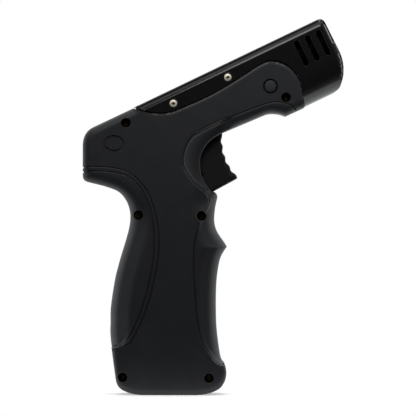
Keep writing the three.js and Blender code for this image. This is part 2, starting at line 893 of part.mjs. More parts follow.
addPiece(torch, "refill_valve_body", "brass", refillValveBody());
addPiece(torch, "refill_valve_stem", "brass", refillValveStem());
addPiece(torch, "refill_valve_spring", "steel", coilSpring(REFILL_X, 10.7, 17.9, 1.5, 0.25, 5));
addPiece(torch, "refill_seal", "rubber", sealRing(REFILL_X, 13, 3.95, 0.65));
addPiece(torch, "flow_adjuster", "brass", flowAdjuster());
addPiece(torch, "adjuster_seal", "rubber", sealRing(ADJUSTER_X, 13, 2.4, 0.6));

export default torch;
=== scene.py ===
# %% [markdown]
# # A pistol-grip butane torch
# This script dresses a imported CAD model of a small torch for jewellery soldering. The model gives the
# frame: where each piece is, how the trigger slides and how big everything is. Here the visible pieces
# are modelled again with finer surfaces, and every piece gets the finish that its real material has.

# %% Load the frame
import json
import math

import bmesh
import bpy
import numpy as np
from mathutils import Matrix, Vector


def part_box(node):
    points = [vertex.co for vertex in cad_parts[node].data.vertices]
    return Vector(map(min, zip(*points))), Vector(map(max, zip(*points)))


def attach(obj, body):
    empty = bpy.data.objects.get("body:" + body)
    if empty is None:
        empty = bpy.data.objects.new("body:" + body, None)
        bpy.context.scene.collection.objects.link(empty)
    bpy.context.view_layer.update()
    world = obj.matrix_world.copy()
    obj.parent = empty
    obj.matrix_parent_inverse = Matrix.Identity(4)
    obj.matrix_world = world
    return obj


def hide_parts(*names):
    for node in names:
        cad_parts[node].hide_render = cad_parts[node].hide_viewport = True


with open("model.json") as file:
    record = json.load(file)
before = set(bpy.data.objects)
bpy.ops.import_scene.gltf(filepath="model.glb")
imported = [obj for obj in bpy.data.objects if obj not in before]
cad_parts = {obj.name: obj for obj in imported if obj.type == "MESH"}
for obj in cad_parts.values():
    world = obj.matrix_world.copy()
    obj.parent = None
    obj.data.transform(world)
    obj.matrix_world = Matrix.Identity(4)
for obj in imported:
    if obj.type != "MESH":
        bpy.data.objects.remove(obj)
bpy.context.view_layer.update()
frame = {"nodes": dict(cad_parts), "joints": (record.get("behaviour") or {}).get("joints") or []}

scene = bpy.context.scene

# %% [markdown]
# ## The frame's measures
# Everything below is modelled in millimetres and shrunk to metres when a piece is finished, because
# the boolean solver works best on numbers near one. The barrel is tilted. Its own frame has X along
# the burner and Z across it, and the trigger's joint gives the direction.

# %% Measures taken from the frame
MM = 0.001


def middle(node):
    low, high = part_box(node)
    return (low + high) / 2 / MM


CASE_HALF = -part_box("casing_left")[0].y / MM
HOOD_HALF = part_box("hood")[1].y / MM
BARREL_START = Vector((-18.4, 0, 129.9))  # on the burner's axis, near the rear of the barrel
pull = next(joint for joint in frame["joints"] if joint["name"] == "trigger_pull")
BARREL_TILT = math.atan2(-pull["axis"][2], -pull["axis"][0])
BARREL = Matrix.Translation(BARREL_START) @ Matrix.Rotation(-BARREL_TILT, 4, "Y")
print(f"casing half {CASE_HALF:.2f} mm, hood half {HOOD_HALF:.2f} mm, tilt {math.degrees(BARREL_TILT):.1f}")


def on_barrel(along, across):
    """A point of the barrel's frame, as X and Z of the torch."""
    point = BARREL @ Vector((along, 0, across))
    return np.array([point.x, point.z])


def to_barrel(node):
    """A node's middle, in the barrel's frame."""
    return BARREL.inverted() @ middle(node)


# %% [markdown]
# ## Camera, floor and light
# The camera stands level beside the torch with a long lens, so that the sides hardly converge. Black
# plastic shows only what it reflects: white surroundings behind and above give the light rims, and a
# dark side towards the camera keeps the flat faces black.

# %% Camera
VIEW_CENTRE = Vector((18, 0, 93)) * MM
FIELD_WIDTH = 208 * MM
camera_data = bpy.data.cameras.new("camera")
camera_data.lens = 400
camera_data.sensor_width = 36
camera_distance = FIELD_WIDTH * camera_data.lens / camera_data.sensor_width
camera = bpy.data.objects.new("camera", camera_data)
camera.location = VIEW_CENTRE - Vector((0, camera_distance, 0))
camera.rotation_euler = (math.radians(90), 0, 0)
scene.collection.objects.link(camera)
scene.camera = camera
scene.view_settings.view_transform = "Standard"
print(f"camera {camera_distance:.2f} m away")


# %% Node helpers
def linear(hex_colour):
    """An sRGB hex colour as linear red, green, blue and alpha."""
    channels = [int(hex_colour[i : i + 2], 16) / 255 for i in (1, 3, 5)]
    return [c / 12.92 if c <= 0.04045 else ((c + 0.055) / 1.055) ** 2.4 for c in channels] + [1.0]


def add_node(tree, kind, settings=None, inputs=None):
    """Adds a node. An input is a plain value or another node's output socket."""
    node = tree.nodes.new(kind)
    for name, value in (settings or {}).items():
        setattr(node, name, value)
    for name, value in (inputs or {}).items():
        if isinstance(value, bpy.types.NodeSocket):
            tree.links.new(value, node.inputs[name])
        else:
            node.inputs[name].default_value = value
    return node


# %% Surroundings
def light_surroundings():
    """White behind, above and at the sides, dark towards the camera, and white where seen directly."""
    world = bpy.data.worlds.new("studio")
    scene.world = world
    world.use_nodes = True
    tree = world.node_tree
    tree.nodes.clear()
    direction = add_node(tree, "ShaderNodeTexCoord").outputs["Generated"]
    parts = add_node(tree, "ShaderNodeSeparateXYZ", inputs={"Vector": direction})
    depth = add_node(
        tree,
        "ShaderNodeMapRange",
        {"interpolation_type": "SMOOTHSTEP"},
        {"Value": parts.outputs["Y"], "From Min": -0.75, "From Max": 0.6, "To Min": 0.03, "To Max": 1.0},
    )
    around = add_node(
        tree,
        "ShaderNodeBackground",
        inputs={"Color": linear("#f4f7fa"), "Strength": depth.outputs["Result"]},
    )
    seen = add_node(tree, "ShaderNodeBackground", inputs={"Color": (1, 1, 1, 1), "Strength": 1.0})
    camera_ray = add_node(tree, "ShaderNodeLightPath").outputs["Is Camera Ray"]
    mixed = add_node(
        tree,
        "ShaderNodeMixShader",
        inputs={0: camera_ray, 1: around.outputs["Background"], 2: seen.outputs["Background"]},
    )
    add_node(tree, "ShaderNodeOutputWorld", inputs={"Surface": mixed.outputs["Shader"]})


def softbox(name, place, size, watts, aim=(10, 0, 100)):
    """A square area light in millimetres, turned to face a point on the torch."""
    data = bpy.data.lights.new(name, "AREA")
    data.shape = "SQUARE"
    data.size = size * MM
    data.energy = watts
    light = bpy.data.objects.new(name, data)
    light.location = Vector(place) * MM
    light.rotation_euler = (Vector(aim) - Vector(place)).to_track_quat("-Z", "Y").to_euler()
    scene.collection.objects.link(light)


light_surroundings()
softbox("top_light", (0, 100, 900), 1000, 2.0)
softbox("front_light", (20, -300, 420), 250, 0.85, aim=(20, 0, 150))
softbox("right_light", (800, 200, 350), 600, 0.4)
softbox("left_light", (-800, 200, 250), 600, 0.5)
print(f"{len(bpy.data.lights)} lights")


# %% Floor
def lay_floor():
    """A pale sheet under the torch. A little glow keeps it as light as a lit studio table."""
    bm = bmesh.new()
    sheet = Matrix.Translation((0, 0.05, 0)) @ Matrix.Diagonal((0.3, 0.085, 1, 1))
    bmesh.ops.create_grid(bm, x_segments=1, y_segments=1, size=1, matrix=sheet)
    mesh = bpy.data.meshes.new("floor")
    bm.to_mesh(mesh)
    bm.free()
    floor = bpy.data.objects.new("floor", mesh)
    scene.collection.objects.link(floor)
    paper = bpy.data.materials.new("matt_white_paper")
    paper.use_nodes = True
    shader = paper.node_tree.nodes["Principled BSDF"]
    shader.inputs["Base Color"].default_value = linear("#f2f2f2")
    shader.inputs["Roughness"].default_value = 0.9
    shader.inputs["Emission Color"].default_value = (1, 1, 1, 1)
    shader.inputs["Emission Strength"].default_value = 0.4
    mesh.materials.append(paper)


lay_floor()

# %% [markdown]
# ## Drawing outlines
# The torch is two moulded shells, so its shape starts as a side view. A line through a few points is
# drawn as a smooth curve, and a corner that is eased is drawn as a bend.


# %% Lines
def smooth_line(points, step=1.0):
    """A smooth curve through the points, sampled about every step millimetres."""
    points = [np.array(p, float) for p in points]
    padded = [points[0], *points, points[-1]]
    samples = []
    for before, start, end, after in zip(padded, padded[1:], padded[2:], padded[3:]):
        count = max(2, round(np.linalg.norm(end - start) / step))
        leave, arrive = (end - before) / 2, (after - start) / 2
        for t in np.arange(count) / count:
            samples.append(
                (2 * t**3 - 3 * t**2 + 1) * start
                + (t**3 - 2 * t**2 + t) * leave
                + (3 * t**2 - 2 * t**3) * end
                + (t**3 - t**2) * arrive
            )
    return np.array([*samples, points[-1]])


def bend(start, corner, end, step=1.0):
    """A curve that leaves start and reaches end, both aimed at the corner."""
    start, corner, end = (np.array(p, float) for p in (start, corner, end))
    count = max(3, round((np.linalg.norm(corner - start) + np.linalg.norm(end - corner)) / step))
    t = np.linspace(0, 1, count + 1)[:, None]
    return (1 - t) ** 2 * start + 2 * t * (1 - t) * corner + t**2 * end


def straight(start, end, step=1.0):
    start, end = np.array(start, float), np.array(end, float)
    count = max(1, round(np.linalg.norm(end - start) / step))
    t = np.linspace(0, 1, count + 1)[:, None]
    return start + t * (end - start)


def chain(*stretches):
    """Stretches laid end to end, without the doubled points where they meet."""
    points = [stretches[0][0]]
    for stretch in stretches:
        points += [p for p in stretch if np.linalg.norm(p - points[-1]) > 0.02]
        points = [points[0]] + [p for p, q in zip(points[1:], points) if np.linalg.norm(p - q) > 0.02]
    return np.array(points)


def beside(line, offset):
    """The line moved sideways, to its left for a positive offset."""
    along = np.gradient(line, axis=0)
    along /= np.linalg.norm(along, axis=1)[:, None]
    return line + offset * np.stack([-along[:, 1], along[:, 0]], axis=1)


def distance_to(points, line):
    """How far each point is from the line, and the nearest place on it."""
    best = np.full(len(points), np.inf)
    nearest = np.zeros_like(points)
    for start, end in zip(line[:-1], line[1:]):
        step = end - start
        share = np.clip((points - start) @ step / (step @ step), 0, 1)
        foot = start + share[:, None] * step
        gap = np.hypot(*(points - foot).T)
        closer = gap < best
        best[closer] = gap[closer]
        nearest[closer] = foot[closer]
    return best, nearest


def inside(points, ring):
    """Which points lie inside a closed ring, by counting the edges to their right."""
    found = np.zeros(len(points), bool)
    for (x1, z1), (x2, z2) in zip(ring, np.roll(ring, -1, axis=0)):
        if z1 != z2:
            spans = (z1 > points[:, 1]) != (z2 > points[:, 1])
            found ^= spans & (points[:, 0] < x1 + (points[:, 1] - z1) / (z2 - z1) * (x2 - x1))
    return found


def ramp(values, low, high):
    """0 below low, 1 above high, and a soft slope between."""
    t = np.clip((values - low) / (high - low), 0, 1)
    return t * t * (3 - 2 * t)


# %% [markdown]
# ## Moulding a half
# A moulded shell is a relief: from the side, each point of the outline has one height. So a fine grid
# is cut to the outline with a boolean, and then each of its points is lifted to the height that a
# formula gives. Near the edge the points are drawn together, so that a steep rounding stays smooth.


# %% Solids
def prism(outline, y_low, y_high):
    """The outline, in X and Z, as a plate from y_low to y_high."""
    bm = bmesh.new()
    face = bm.faces.new([bm.verts.new((x, y_low, z)) for x, z in outline])
    grown = bmesh.ops.extrude_face_region(bm, geom=[face])["geom"]
    moved = [g for g in grown if isinstance(g, bmesh.types.BMVert)]
    bmesh.ops.translate(bm, vec=(0, y_high - y_low, 0), verts=moved)
    bmesh.ops.recalc_face_normals(bm, faces=bm.faces)
    return bm


def rod(radius, y_low, y_high, at, sides=32):
    """A round bar along Y through the point at, given as X and Z."""
    bm = bmesh.new()
    place = Matrix.Translation((at[0], (y_low + y_high) / 2, at[1])) @ Matrix.Rotation(math.pi / 2, 4, "X")
    bmesh.ops.create_cone(
        bm,
        cap_ends=True,
        segments=sides,
        radius1=radius,
        radius2=radius,
        depth=y_high - y_low,
        matrix=place,
    )
    return bm


def block(low, high, matrix=Matrix()):
    bm = bmesh.new()
    low, high = Vector(low), Vector(high)
    size = Matrix.Diagonal((*(high - low), 1))
    bmesh.ops.create_cube(bm, size=1, matrix=matrix @ Matrix.Translation((low + high) / 2) @ size)
    return bm


def shelve(bm, name):
    """Puts a bmesh in a temporary object."""
    mesh = bpy.data.meshes.new(name)
    bm.to_mesh(mesh)
    bm.free()
    shelved = bpy.data.objects.new(name, mesh)
    scene.collection.objects.link(shelved)
    return shelved


def combine(base, tools, operation="DIFFERENCE"):
    """Base with all the tools cut out of it, joined to it, or kept only where they overlap it."""
    body = shelve(base, "base")
    group = bpy.data.collections.new("tools")
    scene.collection.children.link(group)
    shelved = [shelve(tool, "tool") for tool in tools]
    for tool in shelved:
        group.objects.link(tool)
    boolean = body.modifiers.new("boolean", "BOOLEAN")
    boolean.operation = operation
    boolean.solver = "EXACT"
    boolean.operand_type = "COLLECTION"
    boolean.collection = group
    result = bmesh.new()
    result.from_object(body, bpy.context.evaluated_depsgraph_get())
    for used in [body, *shelved]:
        mesh = used.data
        bpy.data.objects.remove(used)
        bpy.data.meshes.remove(mesh)
    bpy.data.collections.remove(group)
    bmesh.ops.dissolve_degenerate(result, dist=0.002, edges=result.edges)
    return result


def moulded(outline, surface, cell, parting):
    """Half a moulding: flat on the parting plane, and shaped by surface on its far, -Y side.

    surface takes points in X and Z and gives where they move to and how far out they stand."""
    margin = 1.3 * cell
    low, high = outline.min(axis=0) - margin, outline.max(axis=0) + margin
    columns, rows = np.ceil((high - low) / cell).astype(int)
    far = 60.0
    lie_upright = (
        Matrix.Translation(((low[0] + high[0]) / 2, -far, (low[1] + high[1]) / 2))
        @ Matrix.Rotation(math.pi / 2, 4, "X")
        @ Matrix.Diagonal((high[0] - low[0], high[1] - low[1], 1, 1))
    )
    slab = bmesh.new()
    bmesh.ops.create_grid(slab, x_segments=columns, y_segments=rows, size=0.5, matrix=lie_upright)
    rim = [edge for edge in slab.edges if edge.is_boundary]
    sides = bmesh.ops.extrude_edge_only(slab, edges=rim)["geom"]
    back = [g for g in sides if isinstance(g, bmesh.types.BMVert)]
    bmesh.ops.translate(slab, vec=(0, far - parting, 0), verts=back)
    bmesh.ops.contextual_create(slab, geom=[e for e in slab.edges if e.is_boundary])
    bmesh.ops.recalc_face_normals(slab, faces=slab.faces)
    half = combine(slab, [prism(outline, -far - 5, 5)], "INTERSECT")
    relief = [v for v in half.verts if v.co.y < -far + 0.01]
    points = np.array([(v.co.x, v.co.z) for v in relief])
    moved, height = surface(points)
    for vert, (x, z), out in zip(relief, moved, height):
        vert.co = (x, -out, z)
    return half


def quarter_round(distance, reach, drop):
    """How far a surface has fallen at a distance from its edge: a quarter ellipse."""
    nearness = np.clip(1 - distance / reach, 0, 1)
    return drop * (1 - np.sqrt(1 - nearness**2))


def soft_slope(distance, start, steepness, ease):
    """How far a surface has fallen on a plane that slopes down towards the edge, and starts gently."""
    run = np.clip(start - distance, 0, None)
    return steepness * np.where(run < ease, run**2 / (2 * ease), run - ease / 2)


def gather(points, edge, width):
    """Draws the points within width of the edge closer to it."""
    distance, nearest = distance_to(points, edge)
    near = (distance < width) & (distance > 1e-6)
    share = np.where(near, distance / width, 1.0)
    return nearest + (points - nearest) * share[:, None]


def hollow_ring(edge, opening, wall, overshoot=6.0):
    """The room inside an outline: a wall's thickness in from its edge, and past its opening."""
    inner = beside(edge, wall)
    clear = inner[distance_to(inner, edge)[0] > wall - 0.05]
    ring = [clear[0]]
    for point in [*clear[1:], *beside(opening, -overshoot)]:
        if np.linalg.norm(point - ring[-1]) > 0.5:
            ring.append(point)
    return np.array(ring)


def mirrored(bm):
    """The same piece on the other side of the parting plane."""
    twin = bm.copy()
    bmesh.ops.scale(twin, vec=(1, -1, 1), verts=twin.verts)
    bmesh.ops.reverse_faces(twin, faces=twin.faces)
    return twin


def welded_halves(half):
    """A half that ends on the plane Y = 0, joined to its mirror image as one moulding."""
    flat = [f for f in half.faces if all(abs(v.co.y) < 1e-4 for v in f.verts)]
    bmesh.ops.delete(half, geom=flat, context="FACES")
    geometry = [*half.verts, *half.edges, *half.faces]
    bmesh.ops.mirror(half, geom=geometry, matrix=Matrix(), merge_dist=1e-3, axis="Y")
    bmesh.ops.recalc_face_normals(half, faces=half.faces)
    return half


def swept(points, radius, sides=8):
    """A round bar along a path of points."""
    points = [Vector(p) for p in points]
    bm = bmesh.new()
    rings = []
    for i, point in enumerate(points):
        along = (points[min(i + 1, len(points) - 1)] - points[max(i - 1, 0)]).normalized()
        across = along.cross(Vector((0, 1, 0)) if abs(along.y) < 0.9 else Vector((1, 0, 0))).normalized()
        other = along.cross(across)
        turn = 2 * math.pi / sides
        rings.append(
            [
                bm.verts.new(point + radius * (math.cos(k * turn) * across + math.sin(k * turn) * other))
                for k in range(sides)
            ]
        )
    for ring, following in zip(rings, rings[1:]):
        for k in range(sides):
            bm.faces.new([ring[k - 1], ring[k], following[k], following[k - 1]])
    bm.faces.new(rings[0][::-1])
    bm.faces.new(rings[-1])
    bmesh.ops.recalc_face_normals(bm, faces=bm.faces)
    return bm


def turned(profile, at, facing=-1, sides=48):
    """A turned piece on an axis along Y. The profile gives radius and depth from its outer end."""
    bm = bmesh.new()
    line = [bm.verts.new((at[0] + radius, facing * depth, at[1])) for radius, depth in profile]
    edges = [bm.edges.new(pair) for pair in zip(line, line[1:])]
    bmesh.ops.spin(
        bm,
        geom=line + edges,
        cent=(at[0], 0, at[1]),
        axis=(0, 1, 0),
        angle=2 * math.pi,
        steps=sides,
        use_merge=True,
    )
    bmesh.ops.remove_doubles(bm, verts=bm.verts, dist=1e-4)
    bmesh.ops.recalc_face_normals(bm, faces=bm.faces)
    return bm


def finish_piece(bm, name, body, material, nodes, crease=35, second_finish=None):
    """Turns a bmesh in millimetres into the piece that stands for the given nodes.

    The optional second material, here painted shade, comes with the test of a face's middle that picks
    where it goes."""
    if second_finish:
        for face in bm.faces:
            face.material_index = int(second_finish[1](face.calc_center_median()))
    bmesh.ops.scale(bm, vec=(MM, MM, MM), verts=bm.verts)
    for face in bm.faces:
        face.smooth = True
    mesh = bpy.data.meshes.new(name)
    bm.to_mesh(mesh)
    bm.free()
    mesh.set_sharp_from_angle(angle=math.radians(crease))
    mesh.materials.append(material)
    if second_finish:
        mesh.materials.append(second_finish[0])
    piece = bpy.data.objects.new(name, mesh)
    scene.collection.objects.link(piece)
    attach(piece, body)
    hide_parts(*nodes)
    print(f"{name}: {len(mesh.polygons)} faces")


# %% [markdown]
# ## Finishes
# Every finish is built from noise in millimetres, so its grain keeps its real size. The casing is matt
# ABS with a spark-eroded grain, the hood is the same plastic from a polished mould, and the trigger is
# nylon, which looks slightly waxy.


# %% Materials
def plastic(name, dark, light, rough, grain_mm, grain_height, patch_mm=9.0, ior=1.5):
    """A moulded plastic: a colour that drifts between two shades, and a fine grain in the surface."""
    material = bpy.data.materials.new(name)
    material.use_nodes = True
    tree = material.node_tree
    shader = tree.nodes["Principled BSDF"]
    place = add_node(tree, "ShaderNodeTexCoord").outputs["Object"]
    patches = add_node(
        tree,
        "ShaderNodeTexNoise",
        inputs={"Vector": place, "Scale": 1 / (patch_mm * MM), "Detail": 3.0, "Roughness": 0.6},
    )
    shade = add_node(
        tree,
        "ShaderNodeMix",
        {"data_type": "RGBA"},
        {"Factor": patches.outputs["Fac"], 6: linear(dark), 7: linear(light)},
    )
    worn = add_node(
        tree,
        "ShaderNodeMapRange",
        inputs={"Value": patches.outputs["Fac"], "To Min": rough[0], "To Max": rough[1]},
    )
    grain = add_node(
        tree,
        "ShaderNodeTexNoise",
        inputs={"Vector": place, "Scale": 1 / (grain_mm * MM), "Detail": 2.0, "Roughness": 0.5},
    )
    relief = add_node(
        tree,
        "ShaderNodeBump",
        inputs={"Height": grain.outputs["Fac"], "Distance": grain_height * MM, "Strength": 1.0},
    )
    tree.links.new(shade.outputs[2], shader.inputs["Base Color"])
    tree.links.new(worn.outputs["Result"], shader.inputs["Roughness"])
    tree.links.new(relief.outputs["Normal"], shader.inputs["Normal"])
    shader.inputs["IOR"].default_value = ior
    return material


def metal(name, dark, light, rough, scratch_mm=0.6, tarnish_mm=2.5, bare=1.0):
    """A worked metal: a tone that drifts with tarnish, and fine scratches in its gloss.

    bare is how much of it isn't covered by a milky passivation film."""
    material = bpy.data.materials.new(name)
    material.use_nodes = True
    tree = material.node_tree
    shader = tree.nodes["Principled BSDF"]
    place = add_node(tree, "ShaderNodeTexCoord").outputs["Object"]
    tarnish = add_node(
        tree, "ShaderNodeTexNoise", inputs={"Vector": place, "Scale": 1 / (tarnish_mm * MM), "Detail": 4.0}
    )
    tone = add_node(
        tree,
        "ShaderNodeMix",
        {"data_type": "RGBA"},
        {"Factor": tarnish.outputs["Fac"], 6: linear(dark), 7: linear(light)},
    )
    scratches = add_node(
        tree, "ShaderNodeTexNoise", inputs={"Vector": place, "Scale": 1 / (scratch_mm * MM), "Detail": 5.0}
    )
    gloss = add_node(
        tree,
        "ShaderNodeMapRange",
        inputs={"Value": scratches.outputs["Fac"], "To Min": rough[0], "To Max": rough[1]},
    )
    tree.links.new(tone.outputs[2], shader.inputs["Base Color"])
    tree.links.new(gloss.outputs["Result"], shader.inputs["Roughness"])
    shader.inputs["Metallic"].default_value = bare
    return material


# The casing is moulded ABS with a fine spark-eroded grain, which spreads highlights to a soft sheen.
grained_abs = plastic("black_grained_abs", "#1f2022", "#26272a", (0.42, 0.52), 0.35, 0.012)
# The hood is ABS from a polished mould, so it mirrors the light in sharp streaks.
polished_abs = plastic("black_polished_abs", "#141415", "#1c1c1e", (0.12, 0.2), 1.5, 0.0015)
# The trigger is moulded nylon with a coarse grain. It looks matt, and darker than the casing.
trigger_nylon = plastic("black_trigger_nylon", "#030303", "#121212", (0.4, 0.65), 0.55, 0.09, 1.2, ior=1.4)
# The lock button is moulded nylon with a mottled face, which breaks the light into specks.
button_nylon = plastic("black_button_nylon", "#101116", "#343640", (0.5, 0.65), 0.45, 0.09, 0.9)
# The base plate, barrel frame and igniter body are moulded glass-filled nylon, which looks dull.
inner_nylon = plastic("black_glass_filled_nylon", "#1a1a1b", "#2a2a2b", (0.5, 0.65), 0.4, 0.02)
# The hood screws are zinc-plated steel. A pale passivation film hides most of the metal's mirror.
zinc_screws = metal("cream_passivated_zinc", "#f1e6c6", "#fffaf0", (0.3, 0.45), bare=0.25)
# The valves, the injector and the adjuster are turned brass, yellow and fairly bright.
brass = metal("turned_brass", "#b58a3c", "#d8b264", (0.22, 0.4))
# The lever, pin, plunger, electrode and springs are drawn steel, grey with fine scratches.
steel = metal("drawn_steel", "#8f9296", "#c3c6c9", (0.22, 0.42))
# The fuel tank is moulded smoked polycarbonate. It is smooth, and drawn opaque because it is hidden.
smoked_tank = plastic("smoked_tank_polycarbonate", "#3a4044", "#50575b", (0.15, 0.25), 2.0, 0.002)
# The insulator is fired alumina, white with an eggshell gloss.
alumina = plastic("white_alumina", "#e7e3da", "#f3f0ea", (0.35, 0.5), 0.25, 0.01)
# The seals are moulded nitrile rubber, black and dull.
nitrile = plastic("black_nitrile_rubber", "#141414", "#1f1f1f", (0.6, 0.75), 0.3, 0.02)
# The gas hose is extruded rubber, grey and dull.
hose_rubber = plastic("grey_hose_rubber", "#4a4a48", "#5c5c59", (0.5, 0.65), 0.3, 0.02)
# The ignition lead has an extruded silicone sheath, red with a soft gloss.
lead_silicone = plastic("red_silicone_lead", "#8f1f1a", "#a82a22", (0.4, 0.55), 0.4, 0.01)
# The wick is pressed felt, off-white and without gloss.
wick_felt = plastic("white_wick_felt", "#d9d4c8", "#efece4", (0.85, 0.95), 0.2, 0.06)

SLOT_FINISH = {
    "casing": grained_abs,
    "hood": polished_abs,
    "trigger": trigger_nylon,
    "nylon": inner_nylon,
    "screw": zinc_screws,
    "brass": brass,
    "steel": steel,
    "tank": smoked_tank,
    "ceramic": alumina,
    "rubber": nitrile,
    "hose": hose_rubber,
    "lead": lead_silicone,
    "wick": wick_felt,
}
print(f"{len(SLOT_FINISH)} finishes")

# %% [markdown]
# ## The casing halves
# A half is a relief whose side is flat where the hand doesn't go, and rolled where it does. Grooves
# divide it: the double one bounds the rolled back of the grip, and the single one bounds its front and
# the hollow round the trigger. Each panel has its own edge, and the edges blend where panels meet.

# %% The casing's lines
SEAM_POINTS = [
    (4.8, 12), (11.5, 6), (19.5, 2.2), (28.4, 1.3), (43.9, 1.1), (60, 2.6),
    (70.2, 3.9), (77, 3.1), (82.9, -2.6), (85.2, -10.6), (83.5, -18.7), (81.8, -23.8),
]  # fmt: skip
SEAM_LINE = smooth_line([on_barrel(x - 0.1, z - 0.25) for x, z in SEAM_POINTS])[::-1]
LOBE_TIP = on_barrel(81.7, -24.6)
SEAM_LINE[0] = LOBE_TIP
CASING_EDGE = chain(
    straight(SEAM_LINE[-1], (-39.2, 133.1)),
    bend((-39.2, 133.1), (-44.2, 130.6), (-44.3, 124)),
    straight((-44.3, 124), (-44.3, 109.2)),
    bend((-44.3, 109.2), (-44.3, 106.4), (-41.5, 105.8)),
    straight((-41.5, 105.8), (-33.7, 103.9)),
    smooth_line([(-33.7, 103.9), (-25.9, 100.6), (-21.4, 93.5), (-21.15, 84), (-26.05, 66.7),
                 (-28.45, 57), (-30.4, 44), (-30.6, 36), (-30.5, 28), (-28, 8.7)]),
    smooth_line([(-28, 8.7), (-27.4, 5.8), (-26, 3.6), (-23.8, 2.1), (-19.8, 0.7), (-15, 0)]),
    straight((-15, 0), (12, 0)),
    smooth_line([(12, 0), (16.2, 0.4), (20.2, 1.4), (24, 3.4), (26.2, 6.6), (27.1, 10), (26.9, 13),
                 (25.8, 16), (24.2, 18.9), (22.4, 32), (21.95, 43), (22.1, 54), (22.8, 61.5),
                 (24.3, 68.5), (27.4, 73.8)]),
    smooth_line([(27.4, 73.8), (25.9, 76.2), (23.9, 79), (22, 82.5), (21.1, 87), (21.6, 93.2),
                 (22.7, 98.2)]),
    bend((22.7, 98.2), (22.8, 101), (19.3, 101.6)),
    smooth_line([(19.3, 101.6), (15, 108.7), (14.3, 118.3), (18.3, 125.6), (24.4, 130.2)]),
    straight((24.4, 130.2), (46.6, 139.6)),
    bend((46.6, 139.6), (51.2, 141), (56.7, 138.8)),
    straight((56.7, 138.8), LOBE_TIP),
)  # fmt: skip
REAR_GROOVE_OUTER = smooth_line([
    (-44.3, 113), (-38.8, 113.5), (-28.8, 112.8), (-21.3, 110.5), (-15.6, 105.6), (-11.4, 99.8),
    (-7.5, 87.8), (-6.3, 75.8), (-7.5, 63.8), (-10, 51.8), (-13.8, 39.8), (-19.5, 27.8),
    (-22.4, 24.8), (-30.2, 22.3),
])  # fmt: skip
REAR_GROOVE_INNER = smooth_line([
    (-44.3, 110.8), (-38.8, 111.3), (-28.8, 110.6), (-21.3, 108.2), (-15.6, 103), (-11, 93.8),
    (-8.9, 81.8), (-9, 69.8), (-10.8, 57.8), (-14, 45.8), (-18.6, 33.8), (-22.4, 27.8),
    (-25.6, 24.8), (-30.3, 24.2),
])  # fmt: skip
FRONT_GROOVE = smooth_line([
    (61.3, 141.9), (60.3, 143.4), (57.3, 144.6), (53, 145.5), (48.3, 145), (39.3, 141.9), (27.3, 137.1),
    (15.3, 131.4), (9.3, 127.4), (6.2, 121), (5.5, 117), (6.5, 112.7), (11.2, 105.8), (17.3, 100.4),
    (18.8, 96.5), (17.5, 92.6), (15, 88), (12.8, 81.8), (11.1, 72.8), (11.1, 60), (12.4, 39.8),
    (14.9, 27.8), (18.6, 21.5), (22.1, 16.8), (25.6, 15.4),
])  # fmt: skip


# %% The casing's surface
# A rounding is its reach in from the edge and its drop. A slope is its start, its steepness and its ease.
FLANK_ROUND = (3.8, 3.6)
FOOT_ROUND = (2.6, 2.4)
RUMP_ROUND = (6, 5)
PALM_SLOPE, PALM_ROUND = (11.8, 0.6, 3), (4, 4)
FINGER_START, FINGER_EASE, FINGER_ROUND = 10.8, 3, (4.5, 4.8)
FINGER_STEEPNESS, EXTRA_ABOVE_STEP = 0.42, 0.16
ARM_ROUND = (4.4, 3.8)
SEAM_ROUND = (0.6, 0.35)
# The guard round the trigger is a dish that is steepest at its groove, with a small lip at the slot.
GUARD_WIDTH, GUARD_DEPTH, GUARD_CURVE, GUARD_LIP = 9.2, 5.2, 1.6, (0.9, 0.6)
# Beside the front groove, above the front screw, the flank falls away into the finger panel.
SHOULDER, SHOULDER_REACH, SHOULDER_DROP = (19.5, 97), 12.0, 3.0
# Heights in Z, and places along X, between which one form turns into the next.
FOOT_TO_FLANK = (14, 26)
PALM_TO_RUMP = (80, 103)
FINGER_STEP = (73.3, 74.1)
FINGERS_TO_GUARD = (98, 103)
GUARD_TO_ARM_X, GUARD_TO_ARM_Z = (24, 33), (100, 120)
SEAM_EASE_X = (-14, 0)


def panel_share(points, groove, far_corners, blend=0.7):
    """1 on the far side of a groove, 0 on this side."""
    ring = np.vstack([groove, far_corners])
    signed = np.where(inside(points, ring), 1, -1) * distance_to(points, groove)[0]
    return ramp(signed, -blend, blend)


